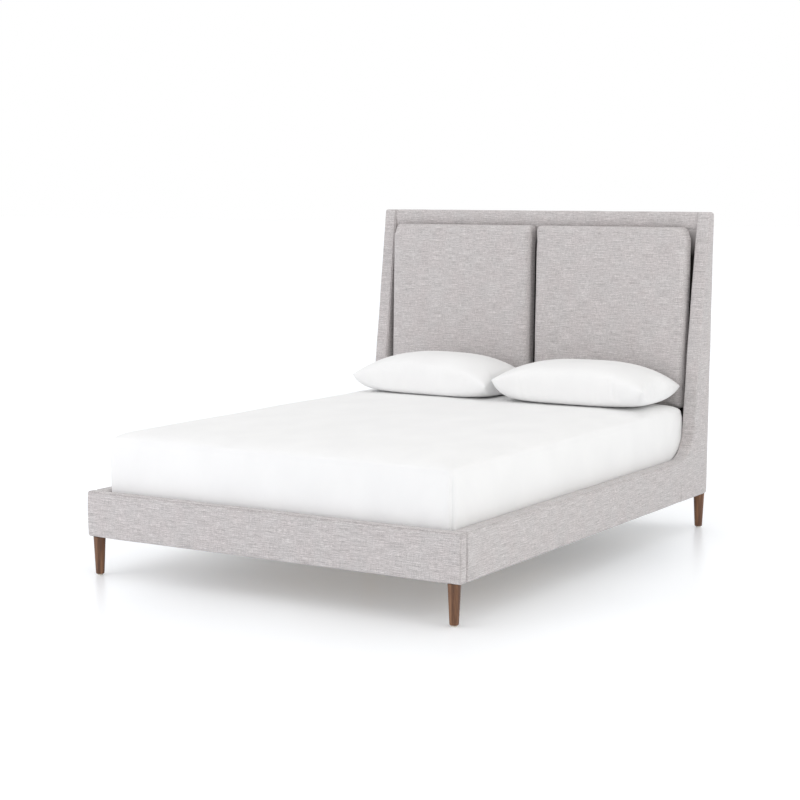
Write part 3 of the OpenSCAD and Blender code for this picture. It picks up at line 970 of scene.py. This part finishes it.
def sheet_rings():
    """Rings of points and outward directions, from the middle of the top to the hem below."""
    middle = np.array([0.0, (mattress_low.y + mattress_high.y) / 2])
    half_width = mattress_high.x
    rings = []

    def add(flat, normals, z):
        ring = np.column_stack([flat, np.full(len(flat), z)])
        rings.append((ring, np.column_stack([normals, np.zeros(len(normals))])))

    def plan(inset):
        radius = SHEET_CORNER_RADIUS + SHEET_CORNER_GROWTH * inset
        return slab_outline(SHEET_INSET + inset, radius)

    rim, rim_normals, _ = plan(SHEET_EDGE_REACH)
    for share in np.linspace(0.02, 1, 30):
        inset = half_width - share * (half_width - SHEET_EDGE_REACH)
        add(middle + (rim - middle) * share, rim_normals, shoulder_z(inset))
    for t in np.linspace(0, 1, 18)[1:]:
        inset = SHEET_EDGE_REACH * (1 - t) ** 2
        points, normals, _ = plan(inset)
        add(points, normals, shoulder_z(inset))
    points, normals, dips = plan(0.0)
    bottom = mattress_low.z + SHEET_LIFT
    side_top = shoulder_z(0.0)
    for z in np.linspace(side_top, bottom + SHEET_HEM, 20)[1:]:
        down = (side_top - z) / (side_top - bottom)
        room = 1 - SHEET_HEAD_BELLY_LOSS * np.clip(normals[:, 1], 0, 1)
        belly = SHEET_BELLY * max(0.0, math.sin(math.pi * down)) ** 0.6 * room
        fold = dips * SHEET_SEAM * min(1.0, down * 8)
        add(points + normals * (fold + belly)[:, None], normals, z)
    for a in np.linspace(0, math.pi / 2, 6)[1:]:
        inset = SHEET_HEM * (1 - math.cos(a))
        add(points - normals * inset, normals, bottom + SHEET_HEM * (1 - math.sin(a)))
    for inset in np.linspace(SHEET_HEM, SHEET_UNDER, 12)[1:]:
        inner, inner_normals, _ = slab_outline(SHEET_INSET + inset, SHEET_CORNER_RADIUS)
        add(inner, inner_normals, bottom)
    return rings


def fitted_sheet():
    """The sheet pulled over the mattress and turned in below it."""
    rings = []
    for ring, outward in sheet_rings():
        drop = (shoulder_z(0.0) + 0.01 - ring[:, 2]) / 0.04
        on_side = np.clip(drop, 0, 1) * np.clip((ring[:, 2] - mattress_low.z) / 0.02, 0, 1)
        ring = ring + outward * (side_wrinkles(ring) * on_side)[:, None]
        on_top = np.clip((ring[:, 2] - shoulder_z(0.0)) / 0.03, 0, 1)
        ring[:, 2] += on_top * top_wrinkles(ring)
        rings.append(ring)
    mesh = loft("sheet", rings)
    drop_last_cap(mesh)
    mesh = baked(mesh, "SOLIDIFY", thickness=SHEET_THICKNESS, offset=-1.0)
    piece = finish_piece(
        "fitted_sheet", mesh, SHEET_COTTON, "white_cotton", "mattress", "mattress"
    )


def side_wrinkles(ring):
    """Slanting pulls that run down the sheet's sides near its corners."""
    to_corner_x = mattress_high.x - np.abs(ring[:, 0])
    to_corner_y = np.minimum(ring[:, 1] - mattress_low.y, mattress_high.y - ring[:, 1])
    near = np.exp(-np.maximum(to_corner_x, to_corner_y) / PULL_REACH)
    height = ring[:, 2] - mattress_low.z
    slant = (to_corner_x + to_corner_y) * 0.8 + height * 0.55
    pulls = np.sin(2 * math.pi * slant / PULL_SPACING) * PULL_DEPTH * near
    return pulls + ripples(ring, 0.35, 0.0006, 61)


def top_wrinkles(points):
    """Faint slack across the top, a little more of it towards the pillows."""
    to_head = np.clip((points[:, 1] + 0.2) / 1.1, 0, 1)
    slow = ripples(points, 0.55, 0.0011, 67) - 0.001
    folds = np.sin(2 * math.pi * (points[:, 0] * 1.4 + points[:, 1]) / SLACK_SPACING)
    return slow + SLACK_DEPTH * to_head * folds


def drop_last_cap(mesh):
    """Opens the end that loft() closed last."""
    shape = bmesh.new()
    shape.from_mesh(mesh)
    shape.faces.ensure_lookup_table()
    bmesh.ops.delete(shape, geom=[shape.faces[-1]], context="FACES_ONLY")
    shape.to_mesh(mesh)
    shape.free()


# ---- Pillows ---------------------------------------------------------------------------------

PILLOW_CUT = (0.762, 0.508)
PILLOW_CELLS = (96, 64)
PILLOW_START_GAP = 0.03
PILLOW_FILLED = (0.705, 0.440)
PILLOW_HEAD_ROOM = 0.002
PILLOW_SINK = 0.012
PILLOW_SMOOTHNESS = 0.8
PILLOW_LONG_POWER = 3.0
PILLOW_SHORT_POWER = 2.4
PILLOW_BASE_SPREAD = 1.9
PILLOW_END_DROP = 0.22
PILLOW_TIP_LEAN = 0.04


def pillow_panels():
    """Two flat panels sewn along their rim, held a little apart."""
    cells_x, cells_y = PILLOW_CELLS
    width, length = PILLOW_CUT
    number, points, faces = {}, [], []

    def vertex(i, j, face):
        rim = i in (0, cells_x) or j in (0, cells_y)
        key = (i, j, 0 if rim else face)
        if key not in number:
            u = 2 * i / cells_x - 1
            v = 2 * j / cells_y - 1
            bulge = math.sqrt(max(0.0, 1 - u * u)) * math.sqrt(max(0.0, 1 - v * v))
            number[key] = len(points)
            points.append((u * width / 2, v * length / 2, key[2] * PILLOW_START_GAP * bulge))
        return number[key]

    for j in range(cells_y):
        for i in range(cells_x):
            square = [(i, j), (i + 1, j), (i + 1, j + 1), (i, j + 1)]
            faces.append([vertex(a, b, 1) for a, b in square])
            faces.append([vertex(a, b, -1) for a, b in square[::-1]])
    return new_mesh("pillow", points, faces)


def smoothed_fill(flat, blown):
    """Blown panels with the ridges at their corners eased towards an even crown."""
    u = np.clip(flat[:, 0] / (PILLOW_CUT[0] / 2), -1, 1)
    v = np.clip(flat[:, 1] / (PILLOW_CUT[1] / 2), -1, 1)
    fill = (1 - np.abs(u) ** PILLOW_LONG_POWER) * (1 - np.abs(v) ** PILLOW_SHORT_POWER)
    crown = fill**0.5 * np.sign(flat[:, 2])
    eased = blown.copy()
    eased[:, 2] *= 1 - PILLOW_SMOOTHNESS
    eased[:, 2] += PILLOW_SMOOTHNESS * crown * blown[:, 2].max()
    return eased


def settle_pillow(points, size, tip_height, seed):
    """Stands a filled pillow on its base: flat below, full above, with tips at a share of it."""
    low, high = points.min(axis=0), points.max(axis=0)
    points = (points - (low + high) / 2) / (high - low) * 2
    across, along, up = points.T
    tip = tip_height - PILLOW_TIP_LEAN * (across + along)
    base = tip * np.tanh(PILLOW_BASE_SPREAD * np.abs(up)) / math.tanh(PILLOW_BASE_SPREAD)
    crest = (1 - tip) * np.abs(up) * (1 - PILLOW_END_DROP * np.abs(across) ** 3.0)
    height = np.where(up < 0, tip - base, tip + crest)
    settled = np.column_stack([across, along, height]) * np.array([size.x / 2, size.y / 2, size.z])
    settled[:, 2] += ripples(settled * [1, 1, 0.2], 0.30, 0.0007, seed) * np.clip(up, 0, 1)
    return settled


def pillow(label, turn, tip_height, seed):
    """A filled pillow, turned by some degrees, with its tips at a share of its height."""
    low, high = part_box("pillow_" + label)
    mesh = pillow_panels()
    random = np.random.default_rng(seed)
    start = read_points(mesh)
    start[:, 2] += ripples(start, 0.16, 0.002, seed) * (np.abs(start[:, 2]) > 1e-4)
    start[:, 2] += random.uniform(-3e-4, 3e-4, len(start))
    write_points(mesh, start)
    blown = simulate(mesh, pressure=4.0, frames=11, stiffness=15, bending=0.8)
    write_points(mesh, smoothed_fill(start, blown))
    mesh = baked(mesh, "SUBSURF", levels=1)
    size = Vector((*PILLOW_FILLED, high.z - low.z - PILLOW_HEAD_ROOM + PILLOW_SINK))
    points = settle_pillow(read_points(mesh), size, tip_height, seed)
    angle = math.radians(turn)
    middle = (low + high) / 2
    x = points[:, 0] * math.cos(angle) - points[:, 1] * math.sin(angle) + middle.x
    y = points[:, 0] * math.sin(angle) + points[:, 1] * math.cos(angle) + middle.y
    write_points(mesh, np.column_stack([x, y, points[:, 2] + low.z - PILLOW_SINK]))
    body = "pillow_" + label
    piece = finish_piece(
        "filled_pillow_" + label, mesh, PILLOW_COTTON, "white_cotton", body, "pillow_" + label
    )


# ---- Legs ------------------------------------------------------------------------------------

LEG_TOP_RADIUS = 0.02375
LEG_BOTTOM_RADIUS = 0.0165
LEG_SOFT = 0.0014


def leg(node):
    """A turned leg that tapers to its glide."""
    low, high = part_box(node)
    centre_x, centre_y = (low.x + high.x) / 2, (low.y + high.y) / 2
    soft = LEG_SOFT
    foot = LEG_BOTTOM_RADIUS
    top = LEG_TOP_RADIUS
    profile = [
        (foot - 2.2 * soft, low.z),
        (foot - soft, low.z + 0.3 * soft),
        (foot - 0.3 * soft, low.z + soft),
        (foot, low.z + 2.4 * soft),
    ]
    for t in np.linspace(0, 1, 24)[1:-1]:
        profile.append((foot + (top - foot) * t, low.z + (high.z - low.z) * t))
    profile += [(top, high.z - soft), (top - 0.3 * soft, high.z - 0.3 * soft), (top - soft, high.z)]
    angles = np.linspace(0, 2 * math.pi, 65)[:-1]
    rings = [
        np.column_stack(
            [
                centre_x + radius * np.cos(angles),
                centre_y + radius * np.sin(angles),
                np.full(len(angles), z),
            ]
        )
        for radius, z in profile
    ]
    finish_piece("walnut_" + node, loft("leg", rings), WALNUT, "walnut", "frame", node)


# ---- CAD nodes that stay ---------------------------------------------------------------------


def dress(names, material, bevel=0.0):
    """Gives CAD nodes a material and, given the width of a bevel, softer edges."""
    for name in names:
        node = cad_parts[name]
        for holder in node.material_slots:
            holder.material = material
        if bevel:
            edges = node.modifiers.new("soft_edges", "BEVEL")
            edges.width = bevel
            edges.segments = 2
            edges.limit_method = "ANGLE"
            edges.angle_limit = math.radians(40)
            edges.harden_normals = False


def dress_frame():
    """Materials for the timber, metal, plastic and straps of the frame."""
    slats = [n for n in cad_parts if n.startswith("slat_") and n[5:].isdigit()]
    supports = [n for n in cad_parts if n.startswith("support_leg_")]
    levellers = [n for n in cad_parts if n.startswith("leveller_")]
    dress(["foot_rail_core", "headboard_top_rail", "headboard_mid_rail"], PINE[0])
    dress(["headboard_bottom_rail"], PINE[0])
    dress(slats, PINE[0], 0.002)
    dress(["side_rail_core_left", "side_rail_core_right"], PINE[1])
    dress(["slat_ledger_left", "slat_ledger_right", "centre_beam"], PINE[1], 0.0015)
    dress(["headboard_post_left", "headboard_post_right"], PINE[2])
    dress(supports, PINE[2], 0.002)
    dress(["wing_core_left", "wing_core_right", "headboard_front_panel"], PLYWOOD)
    dress(["ledger_screws", "headboard_bolts", "leg_hanger_bolts", "threaded_inserts"], STEEL)
    dress(["frame_bolts"], STEEL)
    dress(["beam_hangers", "corner_brackets", "rail_joint_plates"], STEEL, 0.0005)
    dress(["leg_glides"] + levellers, NYLON)
    dress(["slat_webbing"], WEBBING)
    dress(["cushion_fastener_strips"], HOOK_LOOP)


# ---- Floor, light and camera -----------------------------------------------------------------


def floor():
    size = 60.0
    points = [(-size, -size, 0), (size, -size, 0), (size, size, 0), (-size, size, 0)]
    plane = new_object("floor", new_mesh("floor", points, [(0, 1, 2, 3)]))
    material, tree, shader = new_material(
        "pale_floor", {"Emission Color": (0.80, 0.92, 1.05, 1.0), "Emission Strength": 0.15}
    )
    cloud = noise(tree, object_place(tree), (1.5, 1.5, 1.5), 2.0)
    tint = ramp(tree, cloud, [(0.3, (0.90, 0.90, 0.902)), (0.7, (0.92, 0.92, 0.92))])
    link(tree, tint, shader, "Base Color")
    roughen(tree, shader, cloud, 0.28, 0.34)
    plane.data.materials.append(material)


def area_light(name, place, look_at, size, power, colour):
    data = bpy.data.lights.new(name, "AREA")
    data.shape = "DISK"
    data.size = size
    data.energy = power
    data.color = colour
    light = bpy.data.objects.new(name, data)
    light.location = place
    aim = Vector(look_at) - Vector(place)
    light.rotation_euler = aim.to_track_quat("-Z", "Y").to_euler()
    bpy.context.scene.collection.objects.link(light)


def studio():
    world = bpy.data.worlds.new("studio")
    world.use_nodes = True
    background = world.node_tree.nodes["Background"]
    background.inputs["Color"].default_value = (1.0, 1.0, 1.0, 1.0)
    background.inputs["Strength"].default_value = 1.0
    bpy.context.scene.world = world
    area_light("overhead", (0.3, -0.4, 4.6), (0, 0, 0), 4.5, 4.0, (1.0, 0.995, 0.99))
    area_light("front_left", (-3.6, -6.2, 2.4), (-0.4, -0.8, 0.3), 3.5, 62.0, (0.97, 0.955, 1.0))
    area_light("near_left", (-2.8, -3.6, 0.9), (-0.8, -1.1, 0.2), 1.4, 8.0, (0.97, 0.95, 1.0))
    area_light("right_side", (4.8, -1.3, 2.3), (0, 0.0, 0.4), 3.0, 34.0, (1.0, 0.96, 0.90))
    bpy.context.scene.view_settings.view_transform = "Standard"


CAMERA_SENSOR = 36.0
CAMERA_LENS = 81.07
CAMERA_PLACE = (3.7977, -6.3643, 1.4989)
CAMERA_TURN_DEGREES = (83.28, -0.07, 31.47)


def camera():
    data = bpy.data.cameras.new("camera")
    data.sensor_width = CAMERA_SENSOR
    data.lens = CAMERA_LENS
    view = bpy.data.objects.new("camera", data)
    view.location = CAMERA_PLACE
    view.rotation_euler = [math.radians(degrees) for degrees in CAMERA_TURN_DEGREES]
    bpy.context.scene.collection.objects.link(view)
    bpy.context.scene.camera = view


# ---- Everything, in order --------------------------------------------------------------------

camera()
studio()
floor()
foot_rail()
for side, label in ((-1, "left"), (1, "right")):
    side_rail(side, label)
    wing(side, label)
    cushion(side, label)
headboard_panel()
headboard_back()
mattress_core()
fitted_sheet()
pillow("left", -2.0, 0.35, 71)
pillow("right", 2.0, 0.45, 73)
for end in ("front", "rear"):
    for label in ("left", "right"):
        leg(f"leg_{end}_{label}")
dress_frame()
